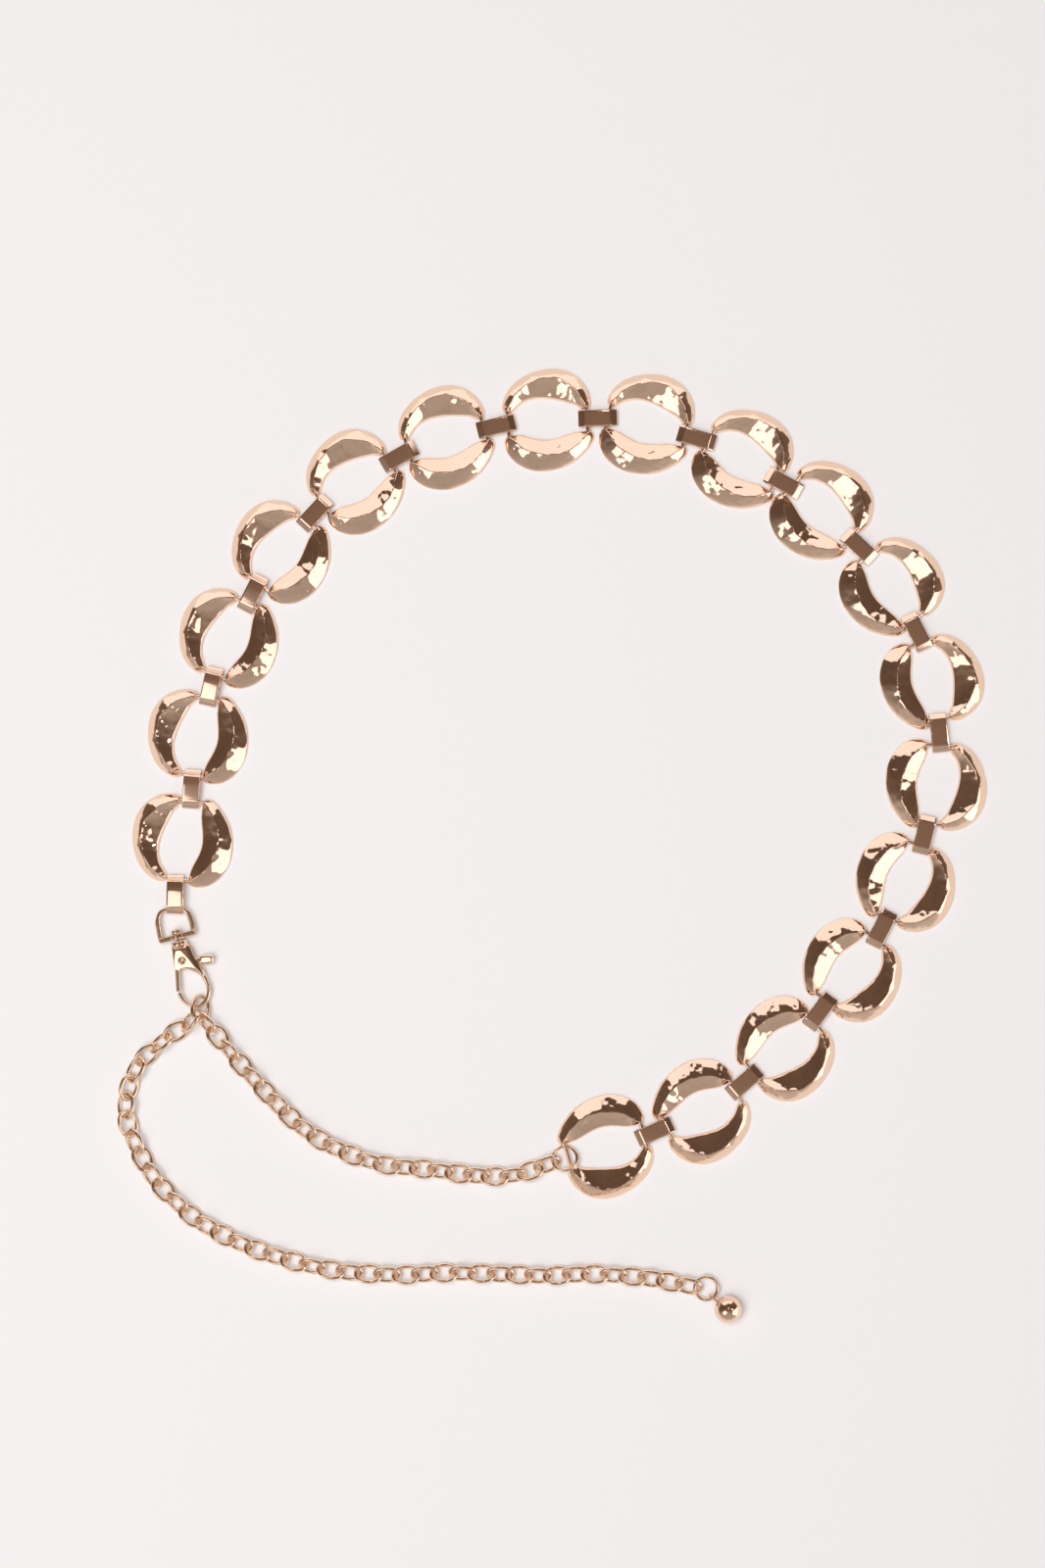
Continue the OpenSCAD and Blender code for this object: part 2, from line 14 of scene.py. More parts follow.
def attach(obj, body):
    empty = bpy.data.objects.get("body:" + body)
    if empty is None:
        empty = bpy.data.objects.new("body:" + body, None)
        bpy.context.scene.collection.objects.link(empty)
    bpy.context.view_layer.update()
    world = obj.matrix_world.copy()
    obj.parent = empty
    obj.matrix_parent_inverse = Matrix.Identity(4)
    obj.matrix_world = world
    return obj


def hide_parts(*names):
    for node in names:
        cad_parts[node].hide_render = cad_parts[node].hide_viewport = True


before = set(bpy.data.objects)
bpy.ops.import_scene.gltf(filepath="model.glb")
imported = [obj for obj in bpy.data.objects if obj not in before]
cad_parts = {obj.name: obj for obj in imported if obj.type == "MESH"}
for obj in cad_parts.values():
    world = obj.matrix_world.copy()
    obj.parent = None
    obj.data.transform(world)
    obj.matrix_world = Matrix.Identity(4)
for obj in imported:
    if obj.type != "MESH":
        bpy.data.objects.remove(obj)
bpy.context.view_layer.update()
MM = 0.001

# Sizes that the CAD model has too
DISC_LENGTH, DISC_WIDTH, DISC_HEIGHT = 32.4, 37.4, 4.6
OUTER_RIM, INNER_RIM = 1.1, 1.5
OUTER_FULLNESS, INNER_HOLLOW = 5, 3
BAR_D, BAR_X, BAR_Z = 1.4, 14.45, 2.2
DISC_PITCH = 37.8
STRAP_LENGTH, STRAP_WIDTH, STRAP_THICK, STRAP_SHEET = 14.4, 6.0, 2.7, 0.5
LINK_LENGTH, LINK_WIDTH, LINK_WIRE = 10.6, 7.7, 1.5
END_RING_D, TAIL_RING_D, RING_WIRE = 10.3, 9.6, 1.2
BALL_D, EYE_BORE, EYE_WIRE, STEM_D = 10.1, 2.0, 0.9, 1.6
EYE_AT, BALL_AT = Vector((59.28, -165.84, 3.22)), Vector((64.69, -170.07, 5.05))
CLASP_AT, CLASP_TURN = Vector((-135.062, -42.060, 3.2)), 15.0
HOOK_REACH, HOOK_SPAN, HOOK_WIRE, HOOK_THICK = 17.6, 10.9, 1.5, 4.4
BOW_WIDTH, BOW_REACH, BOW_WIRE, BOW_FOOT, BOW_FOOT_Y = 13.7, 19.1, 1.4, 1.9, 8.02
RIVET_X = -0.44

# Discs. Their route: X and Y in shares of DISC_PITCH, and the turn off the line through the
# neighbours in degrees
DISC_ROUTE = [
    (-3.59, 0.05, -1), (-3.44, 1.06, 2), (-3.14, 2.02, 1), (-2.63, 2.86, 3),
    (-1.91, 3.54, -1), (-1.03, 3.97, 0), (-0.04, 4.14, 1), (0.93, 4.10, -1),
    (1.86, 3.76, -3), (2.63, 3.26, 0), (3.31, 2.52, 3), (3.70, 1.60, 3),
    (3.74, 0.59, 2), (3.44, -0.36, 2), (2.92, -1.22, -2), (2.27, -1.98, -3),
    (1.46, -2.59, 0), (0.53, -2.93, -4),
]
# Stations of a disc's two crescents: outer edge X, Y, ridge X, Y, inner edge X, Y in percent
# of the half length and half width, then the ridge's height in percent of DISC_HEIGHT
OUTER_CRESCENT = [
    (-99, 23, -89, 21, -80, 20, 68), (-99, 38, -84, 34, -69, 28, 80),
    (-88, 60, -71, 50, -57, 36, 92), (-66, 79, -50, 66, -39, 42, 99),
    (-34, 93, -24, 77, -19, 44, 97), (3, 100, 4, 82, 3, 42, 102),
    (39, 97, 33, 78, 27, 37, 98), (70, 84, 57, 64, 48, 31, 99),
    (92, 61, 75, 47, 65, 25, 92), (101, 37, 85, 30, 74, 19, 82),
    (100, 19, 90, 16, 80, 15, 68),
]
INNER_CRESCENT = [
    (102, -31, 93, -29, 82, -28, 68), (100, -46, 83, -39, 72, -27, 80),
    (81, -67, 67, -51, 58, -28, 92), (52, -86, 46, -63, 38, -32, 100),
    (22, -96, 21, -70, 19, -36, 97), (-12, -100, -6, -69, -2, -38, 101),
    (-44, -96, -31, -65, -21, -36, 98), (-75, -82, -54, -57, -40, -31, 98),
    (-94, -62, -71, -44, -57, -26, 90), (-101, -41, -83, -32, -71, -24, 80),
    (-98, -28, -90, -26, -82, -25, 68),
]
OUTER_SEED, INNER_SEED = 1.0, 5.0
# Ends of each bar in percent of half the disc's width, and how far they run into the crescents
FRONT_BAR, REAR_BAR = (-28, 15), (-25, 20)
BAR_SUNK = 1.4
# Rounding of the outer rim, and its points: place inwards and drop, both in shares of it
EDGE = 0.32
EDGE_POINTS = [(0.10, 0.45), (0.45, 0.05)]
# Half the width that the ridge is rounded over
RIDGE_ROUND = 0.30
# Turned-down lip of the inner edge: distance from the edge and depth below INNER_RIM
LIP = [(0.46, -0.10), (0.38, 0.04), (0.10, 0.56), (0.02, 0.78), (0, 1.0), (0, INNER_RIM)]
# Rows: between two stations, on each face, and over the ridge
STATION_ROWS, FACE_ROWS, RIDGE_ROWS = 9, 12, 8
# How far the ridge sways sideways and up, and its waves in a millimetre
SWAY, LIFT, SWAY_WAVES = 0.45, 0.12, 0.32
# Size of the last rows at a crescent's ends, across and upright, from the end inwards
END_SIZES = [(0.86, 0.80), (0.95, 0.93), (0.99, 0.99)]
# The hammered face starts at this height and is at its full depth this much higher
HAMMER_FROM, HAMMER_FADE = 0.9, 0.8
# Unevenness of the face: waves in a millimetre, what is added to the seed, and depth
WAVES = [(0.17, 3.1, 0.17), (0.55, 7.7, 0.07), (1.25, 1.9, 0.018)]
# Hammer dents: X, Y, length, width, turn and depth
DENTS = [
    (4.7, -10.2, 2.6, 1.0, 25, 0.22), (-4.8, -16.2, 1.6, 1.1, 40, 0.16),
    (-8.0, -14.8, 1.2, 0.9, 0, 0.10), (13.0, 8.4, 1.2, 1.8, 0, 0.14),
    (-14.6, 6.6, 1.0, 1.5, 0, 0.12), (-9.6, -9.4, 1.8, 0.9, -35, 0.12),
    (9.5, -12.6, 2.0, 1.0, 30, 0.12), (-3.0, 15.0, 2.0, 1.2, 10, 0.06),
    (6.0, 12.6, 1.5, 1.3, -20, 0.12), (9.2, 10.4, 1.3, 1.2, -40, 0.12),
    (-8.6, 11.0, 2.2, 1.2, 40, 0.09), (0.6, 11.2, 2.2, 1.4, 0, 0.07),
    (12.2, -9.6, 1.3, 1.0, 50, 0.10), (-12.6, -9.8, 1.3, 1.2, -50, 0.10),
    (2.6, -11.2, 1.9, 0.5, 8, 0.14), (6.8, -14.9, 1.7, 0.5, 12, 0.14),
    (-6.2, -14.6, 1.1, 0.6, -30, 0.12), (-1.0, -8.4, 1.6, 0.5, -10, 0.10),
    (-6.5, 12.8, 0.8, 0.7, 0, 0.10), (3.6, 14.2, 0.8, 0.6, 20, 0.10),
    (-11.4, 9.4, 1.4, 0.5, 60, 0.10), (7.4, 9.0, 1.5, 0.5, -30, 0.10),
]
DENT_SHARPNESS = 2.2

# Straps. Rounding and crown of the sheet's section, and the height that parts the top from
# the flaps
SHEET_ROUND, SHEET_CROWN, TOP_FROM = 0.14, 0.02, 0.5
# Slopes of the straps that don't lie flat, across and along, by their number from 0
STRAP_SLOPES = {0: (0.11, 0.15), 1: (0.02, 0.12), 2: (0.05, 0.16), 3: (0.04, 0.14),
                7: (0.0, 0.03)}
# A sloped top rises up to this share of the strap's length. The slope starts this far from
# the ends and is full this much further in
SLOPE_BEND, SLOPE_FROM, SLOPE_FADE = 0.62, 1.2, 1.5

# Chain. Powers that make a link a little fuller than an ellipse, along and across
LINK_FULLNESS = (0.94, 0.90)
# Roll that parts steep links from flat ones, and how far each sort turns about its length
STEEP, STEEP_TURN, FLAT_TURN = math.radians(40), math.radians(-18), math.radians(6)

# Radius that stands for a point at the pole of a turned solid
POLE = 0.002
# Ball. Where its stem starts from the eye, how far it runs into the ball, and its radius in
# shares of STEM_D / 2: at the eye and what it gains up to the ball
STEM_FROM, STEM_SUNK, STEM_FLARE = 0.9, 0.6, (0.75, 0.6)

# Clasp. Its X runs across, its Y to the bow and its Z up
# Swivel bow: X in halves of BOW_WIDTH, Y in shares of the way from the foot to BOW_REACH
BOW_ROUTE = [
    (-0.90, 0), (-0.86, 0.38), (-0.80, 0.73), (-0.62, 0.95), (-0.41, 1.04), (-0.20, 1.05),
    (0.20, 1), (0.62, 0.96), (0.80, 0.84), (0.90, 0.68), (0.94, 0.35), (0.92, 0),
]
# What the bow's arms gain in half width near the foot, the height above the foot where that
# is gone, and how much below it is full
BOW_FLARE, FLARE_END, FLARE_FADE = 0.25, 8.6, 2
# Foot: what it is thicker than the wire, the rounding of its edges, and its round collar
FOOT_PROUD, FOOT_ROUND = 1, 0.3
FOOT_BORE_R, FOOT_COLLAR_R, FOOT_BEVEL = 1.06, 2.63, (0.23, 0.2)
# Hook's rod: X in shares of HOOK_SPAN, Y of HOOK_REACH and thickness of HOOK_WIRE
ROD_ROUTE = [
    (0.47, -0.24, 1.5), (0.51, -0.40, 1.25), (0.56, -0.56, 1.05), (0.565, -0.72, 1),
    (0.45, -0.885, 1), (0.24, -0.98, 1), (0.02, -0.995, 1), (-0.20, -0.93, 1),
    (-0.37, -0.80, 1), (-0.44, -0.635, 1),
]
# Outlines of the hook's body and of the core that joins the rod to it: X in shares of
# HOOK_SPAN, Y in millimetres. The bridge above the slot is all in millimetres
BODY = [
    (-0.275, 5.5), (0.275, 5.5), (0.40, 0.6), (0.52, -4.8), (0.55, -7.2), (0.45, -7.4),
    (0.36, -6), (0.22, -4.7), (0.04, -3.5), (-0.14, -3), (-0.35, -2.9),
]
ROD_ROOT = [(0.2, -4.7), (0.45, -3.7), (0.55, -7.2), (0.45, -7.4), (0.36, -6)]
BRIDGE = [(-3.0, 3.4), (-3.0, 5.5), (3.0, 5.5), (3.5, 3.4)]
SLOT, CORE_HALF = 1.8, 1
# Collar and swivel post: radius and Y
POST = [
    (2.2, 5.2), (2.7, 5.5), (3.1, 5.8), (3.1, 6.9), (2.8, 7.2), (0.9, 7.25), (0.9, 9.9),
    (1.6, 10.04), (1.8, 10.3), (1.8, 11.3), (1.5, 11.6),
]
# Hook's cheeks: height at the outline, slope of the steep rim, its width, and slope of the
# facet inside it; then the face's level, its lean over X and Y, its highest level and the
# height that rim and face blend over
CHEEK_RIM, RIM_SLOPE, RIM_WIDTH, FACET_SLOPE = 1.0, 1.5, 0.25, 0.55
FACE_LEVEL, FACE_LEAN_X, FACE_LEAN_Y, FACE_TOP, FACE_BLEND = 1.86, 0.17, 0.09, 2.2, 0.5
# Gate: both ends of its line, the share of it that it runs on past the first, and half its
# section
GATE_TOP, GATE_END = Vector((-3.16, -3.2)), Vector((-4.79, -10.65))
GATE_PAST, GATE_HALF = 0.3, (0.85, 1.1)
# Lever's hub, and half the sections of its arms to the gate and to the thumb tab
HUB_D, HUB_BORE_R, HUB_HALF = 3.8, 0.77, 0.78
GATE_ARM, TAB_ARM = (0.8, 0.75), (1.05, 0.75)
# Thumb tab: its way, start and end from the rivet, half its section, how it rises along its
# length from the level point, how far it lies off the rivet's line, and its tilt
TAB_WAY, TAB_FROM, TAB_TO, TAB_HALF = math.radians(-11), 6.3, 11.6, (1.8, 1.1)
TAB_RISE, TAB_LEVEL_AT, TAB_OFF, TAB_TILT = 0.12, 7, -0.2, -0.24
# Rivet: how far its edge stands out of the hook, and its head's radius and height over that
RIVET_PROUD = 0.12
RIVET_HEAD = [
    (POLE, -0.55), (0.45, -0.5), (0.55, 0.15), (0.75, 0.38), (1.1, 0.40), (1.4, 0.25),
    (1.5, 0.02), (0.7, 0),
]

# Photo's view: the camera, the height of its picture and the level that this is measured at
CAMERA_AT = Vector((-0.01064, 0.02264, 1.2525))
FRAME_HEIGHT, FRAME_LEVEL = 0.576, 0.0025
SENSOR = 36.0
FLOOR_REACH = 12.0
# Tints of the lamps that the metal mirrors, and of the one that it doesn't
MIRRORED_TINT, HIDDEN_TINT = (1, 0.94, 1), (0.965, 0.995, 1)
# Brightness of the world by the Z of the direction, from level up
SKY_LEVELS = [(0.0, 1.5), (0.35, 1.1), (0.6, 0.95), (0.9, 1.2), (1.0, 1.7)]


# Shells: each is a pair of vertices and faces
def smooth_rows(rows, steps):
    """Catmull-Rom rows between the given ones."""
    rows = np.array(rows, float)
    out = []
    for i in range(len(rows) - 1):
        a, b, c = rows[max(i - 1, 0)], rows[i], rows[i + 1]
        d = rows[min(i + 2, len(rows) - 1)]
        for k in range(steps):
            t = k / steps
            out.append((2 * b + (c - a) * t + (2 * a - 5 * b + 4 * c - d) * t * t
                        + (3 * b - a - 3 * c + d) * t ** 3) / 2)
    out.append(rows[-1])
    return np.array(out)


def shell(sections, closed=False):
    """Solid through rings of equal length."""
    sections = np.array(sections, float)
    m, n = sections.shape[:2]
    faces = []
    for i in range(m if closed else m - 1):
        p, q = i * n, (i + 1) % m * n
        faces += [(p + j, p + (j + 1) % n, q + (j + 1) % n, q + j) for j in range(n)]
    if not closed:
        faces += [tuple(range(n)), tuple(range(m * n - 1, (m - 1) * n - 1, -1))]
    return sections.reshape(-1, 3), faces


def joined(shells):
    """Several shells as one."""
    verts, faces = [], []
    start = 0
    for v, f in shells:
        verts.append(np.asarray(v, float))
        faces += [tuple(k + start for k in face) for face in f]
        start += len(v)
    return np.concatenate(verts), faces


def moved(part, matrix):
    """A shell moved by a 4 by 4 matrix."""
    v, f = part
    m = np.array(matrix)
    return np.asarray(v) @ m[:3, :3].T + m[:3, 3], f


def swept(path, radii, closed=False, sides=20, squareness=2.0, up=(0, 0, 1)):
    """A rod along a path. radii are half its width and half its height at each point."""
    path = np.array(path, float)
    radii = np.array(radii, float) * np.ones((len(path), 2))
    up = np.array(up, float)
    rings = []
    for i, p in enumerate(path):
        a = path[i - 1] if closed or i else p
        b = path[(i + 1) % len(path)] if closed or i + 1 < len(path) else p
        way = (b - a) / np.linalg.norm(b - a)
        side = np.cross(up, way)
        side /= np.linalg.norm(side)
        top = np.cross(way, side)
        ring = []
        for k in range(sides):
            c, s = math.cos(math.tau * k / sides), math.sin(math.tau * k / sides)
            x = math.copysign(abs(c) ** (2 / squareness), c) * radii[i][0]
            y = math.copysign(abs(s) ** (2 / squareness), s) * radii[i][1]
            ring.append(p + side * x + top * y)
        rings.append(ring)
    return shell(rings, closed)


def rounded_ends(path, radius):
    """Half widths along a path that round both its ends."""
    path = np.array(path, float)
    run = np.concatenate([[0], np.cumsum(np.linalg.norm(np.diff(path, axis=0), axis=1))])
    rest = np.minimum(run, run[-1] - run)
    return radius * np.sqrt(np.clip(1 - (1 - np.clip(rest / radius, 0.02, 1)) ** 2, 0, 1))


def lathe(profile, sides=48):
    """Turned solid about Z from rows of radius and height."""
    angles = np.linspace(0, math.tau, sides, endpoint=False)
    return shell([[(r * math.cos(a), r * math.sin(a), z) for a in angles] for r, z in profile])


def along_y(profile, sides=40):
    """Turned solid about Y from rows of radius and Y."""
    return moved(lathe(profile, sides), Matrix.Rotation(-math.pi / 2, 4, "X"))


def prism(outline, low, high):
    """Solid over an outline between two heights."""
    return shell([[(x, y, z) for x, y in outline] for z in (low, high)])


def ring_shell(outside, wire):
    """Round ring of round wire, flat about the origin."""
    r = (outside - wire) / 2
    path = [(r * math.cos(t), r * math.sin(t), 0)
            for t in np.linspace(0, math.tau, 72, endpoint=False)]
    return swept(path, wire / 2, closed=True, sides=18)


def rounded_block(centre, size, bevel):
    """Box with rounded edges."""
    x, y, z = centre
    sx, sy, sz = (s / 2 for s in size)
    steps = 5
    sections = []
    for side in (-1, 1):
        for k in (range(steps) if side < 0 else range(steps - 1, -1, -1)):
            a = k / (steps - 1) * math.pi / 2
            r = bevel * math.sin(a)
            ring = []
            for cx, cz, start in ((1, 1, 0), (-1, 1, 90), (-1, -1, 180), (1, -1, 270)):
                for q in range(steps):
                    b = math.radians(start + q * 90 / (steps - 1))
                    ring.append((x + side * (sx - bevel + bevel * math.cos(a)),
                                 y + cx * (sy - bevel) + r * math.cos(b),
                                 z + cz * (sz - bevel) + r * math.sin(b)))
            sections.append(ring)
    return shell(sections)


def pillow(outline, base, height, step=0.16):
    """Solid from the height base up. Its top follows height(d, x, y), where d is the
    distance from the outline."""
    line = np.array(smooth_rows(list(outline) + [outline[0]], 5))[:-1]
    after = np.roll(line, -1, axis=0)
    low, high = line.min(0) - step, line.max(0) + step
    xs, ys = np.arange(low[0], high[0], step), np.arange(low[1], high[1], step)

    def nearest(p):
        run = after - line
        t = np.clip(((p - line) * run).sum(1) / (run * run).sum(1), 0, 1)
        foot = line + run * t[:, None]
        k = np.linalg.norm(foot - p, axis=1).argmin()
        return foot[k], np.linalg.norm(foot[k] - p)

    def inside(p):
        cross = (line[:, 1] > p[1]) != (after[:, 1] > p[1])
        rise = np.where(after[:, 1] == line[:, 1], 1, after[:, 1] - line[:, 1])
        at = line[:, 0] + (p[1] - line[:, 1]) * (after[:, 0] - line[:, 0]) / rise
        return np.count_nonzero(cross & (at > p[0])) % 2 == 1

    cells = {(i, j) for i in range(len(xs) - 1) for j in range(len(ys) - 1)
             if inside(np.array((xs[i] + step / 2, ys[j] + step / 2)))}
    index, verts, faces = {}, [], []
    corners = {(i + a, j + b) for i, j in cells for a in (0, 1) for b in (0, 1)}
    for i, j in sorted(corners):
        p = np.array((xs[i], ys[j]))
        foot, d = nearest(p)
        if any(c not in cells for c in ((i, j), (i - 1, j), (i, j - 1), (i - 1, j - 1))):
            p, d = foot, 0.0
        index[i, j] = len(verts)
        verts += [(p[0], p[1], height(d, p[0], p[1])), (p[0], p[1], base)]
    for i, j in sorted(cells):
        ring = [index[c] for c in ((i, j), (i + 1, j), (i + 1, j + 1), (i, j + 1))]
        faces += [tuple(ring), tuple(k + 1 for k in reversed(ring))]
        beside = ((i, j - 1), (i + 1, j), (i, j + 1), (i - 1, j))
        for k, other in enumerate(beside):
            if other not in cells:
                a, b = ring[k], ring[(k + 1) % 4]
                faces.append((b, a, a + 1, b + 1))
    return np.array(verts), faces


# Meshes, objects and the CAD frame
def shade_smooth(mesh):
    mesh.polygons.foreach_set("use_smooth", [True] * len(mesh.polygons))


def to_mesh(name, part):
    """Mesh in metres from a shell in millimetres."""
    verts, faces = part
    mesh = bpy.data.meshes.new(name)
    mesh.from_pydata([tuple(v * MM) for v in np.asarray(verts)], [], faces)
    bm = bmesh.new()
    bm.from_mesh(mesh)
    bmesh.ops.recalc_face_normals(bm, faces=bm.faces)
    bm.to_mesh(mesh)
    bm.free()
    shade_smooth(mesh)
    return mesh


def new_object(name, mesh, material):
    """Object in the scene. Its mesh takes the material unless it has one."""
    piece = bpy.data.objects.new(name, mesh)
    bpy.context.scene.collection.objects.link(piece)
    if not mesh.materials:
        mesh.materials.append(material)
    return piece


def dress(piece, body, slot, *nodes):
    """Says what a piece rides on and which CAD nodes it replaces; slot is not used."""
    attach(piece, body)
    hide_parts(*nodes)


def apply_modifiers(piece):
    bpy.context.view_layer.update()
    graph = bpy.context.evaluated_depsgraph_get()
    mesh = bpy.data.meshes.new_from_object(piece.evaluated_get(graph))
    piece.modifiers.clear()
    piece.data = mesh
    shade_smooth(mesh)


def loose_solids(bm):
    """A list for each loose solid of a mesh: its faces in their order."""
    bm.verts.index_update()
    bm.faces.index_update()
    seen, solids = set(), []
    for seed in bm.verts:
        if seed.index in seen:
            continue
        stack, faces = [seed], set()
        seen.add(seed.index)
        while stack:
            for f in stack.pop().link_faces:
                faces.add(f)
                for w in f.verts:
                    if w.index not in seen:
                        seen.add(w.index)
                        stack.append(w)
        solids.append(sorted(faces, key=lambda f: f.index))
    return solids


def solid_places(node):
    """A matrix for each loose solid of a CAD node: X along its length, Z along its
    thinnest way and up, in millimetres."""
    bm = bmesh.new()
    bm.from_mesh(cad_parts[node].data)
    bmesh.ops.remove_doubles(bm, verts=bm.verts, dist=1e-6)
    bmesh.ops.triangulate(bm, faces=bm.faces)
    places = []
    for faces in loose_solids(bm):
        tri = np.array([[v.co for v in f.verts] for f in faces]) / MM
        area = np.linalg.norm(np.cross(tri[:, 1] - tri[:, 0], tri[:, 2] - tri[:, 0]), axis=1)
        middle = (tri.mean(1) * area[:, None]).sum(0) / area.sum()
        t = tri - middle
        total = t.sum(1)
        spread = (np.einsum("f,fki,fkj->ij", area, t, t)
                  + np.einsum("f,fi,fj->ij", area, total, total))
        x, z = np.linalg.eigh(spread)[1].T[[2, 0]]
        if z[2] < 0:
            z = -z
        places.append((middle, x, z))
    bm.free()
    places.sort(key=lambda p: (round(p[0][0], 3), round(p[0][1], 3)))
    out = []
    for middle, x, z in places:
        m = Matrix.Identity(4)
        for col, axis in enumerate((x, np.cross(z, x), z, middle)):
            for r in range(3):
                m[r][col] = axis[r]
        out.append(m)
    return out


# Materials
def gold(name, colour, roughness, grain, dimple):
    """Polished rose-gold plating: faint colour drift, fine scratches and soft dimples.
    grain and dimple are the strengths of the last two."""
    mat = bpy.data.materials.new(name)
    mat.use_nodes = True
    nodes, links = mat.node_tree.nodes, mat.node_tree.links
    bsdf = nodes["Principled BSDF"]
    bsdf.inputs["Metallic"].default_value = 1.0
    where = nodes.new("ShaderNodeTexCoord").outputs["Object"]

    def noise_node(scale, detail):
        n = nodes.new("ShaderNodeTexNoise")
        n.inputs["Scale"].default_value = scale
        n.inputs["Detail"].default_value = detail
        links.new(where, n.inputs["Vector"])
        return n.outputs["Fac"]

    def bump(strength, distance, height):
        n = nodes.new("ShaderNodeBump")
        n.inputs["Strength"].default_value = strength
        n.inputs["Distance"].default_value = distance
        links.new(height, n.inputs["Height"])
        return n

    drift = nodes.new("ShaderNodeValToRGB")
    darker, full = drift.color_ramp.elements
    darker.position, full.position = 0.35, 0.7
    darker.color = (*[c * 0.96 for c in colour], 1)
    full.color = (*colour, 1)
    links.new(noise_node(scale=90, detail=3), drift.inputs["Fac"])
    links.new(drift.outputs["Color"], bsdf.inputs["Base Color"])

    polish = nodes.new("ShaderNodeMapRange")
    polish.inputs["To Min"].default_value = roughness * 0.7
    polish.inputs["To Max"].default_value = roughness * 1.4
    links.new(noise_node(scale=260, detail=4), polish.inputs["Value"])
    links.new(polish.outputs["Result"], bsdf.inputs["Roughness"])

    fine = bump(grain, 0.02 * MM, noise_node(scale=2600, detail=2))
    soft = bump(dimple, 0.2 * MM, noise_node(scale=420, detail=2))
    links.new(fine.outputs["Normal"], soft.inputs["Normal"])
    links.new(soft.outputs["Normal"], bsdf.inputs["Normal"])
    return mat


ROSE = (0.955, 0.70, 0.52)
DISC_GOLD = gold("disc_gold", ROSE, 0.07, 0.05, 0.12)
FITTING_GOLD = gold("fitting_gold", ROSE, 0.09, 0.02, 0.02)
# Lighter copy of the rose gold for the chain and clasp: painted light, brighter than the discs'
# metal so that these pieces show brighter reflections
PAINTED_LIGHT_GOLD = gold("painted_light_gold", (1.0, 0.76, 0.55), 0.10, 0.02, 0.02)


# Discs
def profile_across(top, to_ridge, to_inner):
    """Rows of place and height across a crescent. Place 0 is the outer edge, 1 the ridge
    and 2 the inner edge; to_ridge and to_inner are the lengths between them."""
    bulge, hollow = (share * DISC_HEIGHT / 100 for share in (OUTER_FULLNESS, INNER_HOLLOW))

    def outer(t):
        return OUTER_RIM + (top - OUTER_RIM) * t + 4 * bulge * t * (1 - t)

    def inner(t):
        return top + (INNER_RIM - top) * t - 4 * hollow * t * (1 - t)

    rows = [(0, 0), (0, OUTER_RIM - EDGE)]
    rows += [(inwards * EDGE / to_ridge, OUTER_RIM - drop * EDGE) for inwards, drop in EDGE_POINTS]
    before, after = 1 - RIDGE_ROUND / to_ridge, RIDGE_ROUND / to_inner
    rows += [(t, outer(t)) for t in np.linspace(0.10, before, FACE_ROWS)]
    step = 0.02
    rise = (outer(before) - outer(before - step)) / step / to_ridge
    fall = (inner(after) - inner(after + step)) / step / to_inner
    for k in range(1, RIDGE_ROWS):
        run = k / RIDGE_ROWS * 2 * RIDGE_ROUND
        z = outer(before) + rise * run - (rise + fall) * run * run / (4 * RIDGE_ROUND)
        off = run - RIDGE_ROUND
        rows.append((1 + off / (to_ridge if off < 0 else to_inner), z))
    before_lip = 1 - 1.2 * LIP[0][0] / to_inner
    rows += [(1 + t, inner(t)) for t in np.linspace(after, before_lip, FACE_ROWS + 1)]
    rows += [(2 - away / to_inner, INNER_RIM - drop) for away, drop in LIP]
    return rows


def crescent(table, seed):
    """One crescent of a disc through the stations of its table."""
    rows = smooth_rows(table, STATION_ROWS)
    half = np.array([DISC_LENGTH, DISC_WIDTH] * 3) / 200
    sections = []
    for i, row in enumerate(rows):
        out, ridge, inn = (row[:6] * half).reshape(3, 2)
        wobble = Vector((ridge[0] * SWAY_WAVES, ridge[1] * SWAY_WAVES, seed))
        across = (out - inn) / np.linalg.norm(out - inn)
        ridge = ridge + across * SWAY * noise.noise(wobble)
        top = row[6] * DISC_HEIGHT / 100 + LIFT * noise.noise(wobble * 1.3)
        section = []
        for place, z in profile_across(top, np.linalg.norm(out - ridge),
                                       np.linalg.norm(inn - ridge)):
            if place <= 1:
                p = out + (ridge - out) * place
            else:
                p = ridge + (inn - ridge) * (place - 1)
            section.append([p[0], p[1], z])
        section = np.array(section)
        from_end = min(i, len(rows) - 1 - i)
        if from_end < len(END_SIZES):
            flat, upright = END_SIZES[from_end]
            middle = section.mean(0)
            middle[2] = 0
            section = middle + (section - middle) * [flat, flat, upright]
        sections.append(section)
    verts, faces = shell(sections)
    return hammered(verts, seed), faces


def hammered(verts, seed):
    """Pushes the face of a crescent down in broad waves, small dimples and dents."""
    out = verts.copy()
    for k, (x, y, z) in enumerate(verts):
        if z < HAMMER_FROM:
            continue
        fade = min(1.0, (z - HAMMER_FROM) / HAMMER_FADE)
        drop = sum(depth * noise.noise(Vector((x * waves, y * waves, seed + own)))
                   for waves, own, depth in WAVES)
        for dx, dy, length, width, turn, depth in DENTS:
            c, s = math.cos(math.radians(turn)), math.sin(math.radians(turn))
            u = ((x - dx) * c + (y - dy) * s) / length
            v = ((y - dy) * c - (x - dx) * s) / width
            drop -= depth * math.exp(-DENT_SHARPNESS * (u * u + v * v))
        out[k, 2] += drop * fade
    return out


def disc_bar(x, bar):
    """Round bar between the two crescents at one end of a disc."""
    low, high = (b / 200 * DISC_WIDTH for b in bar)
    path = [(x, y, BAR_Z) for y in np.linspace(low - BAR_SUNK, high + BAR_SUNK, 12)]
    return swept(path, BAR_D / 2, sides=24)


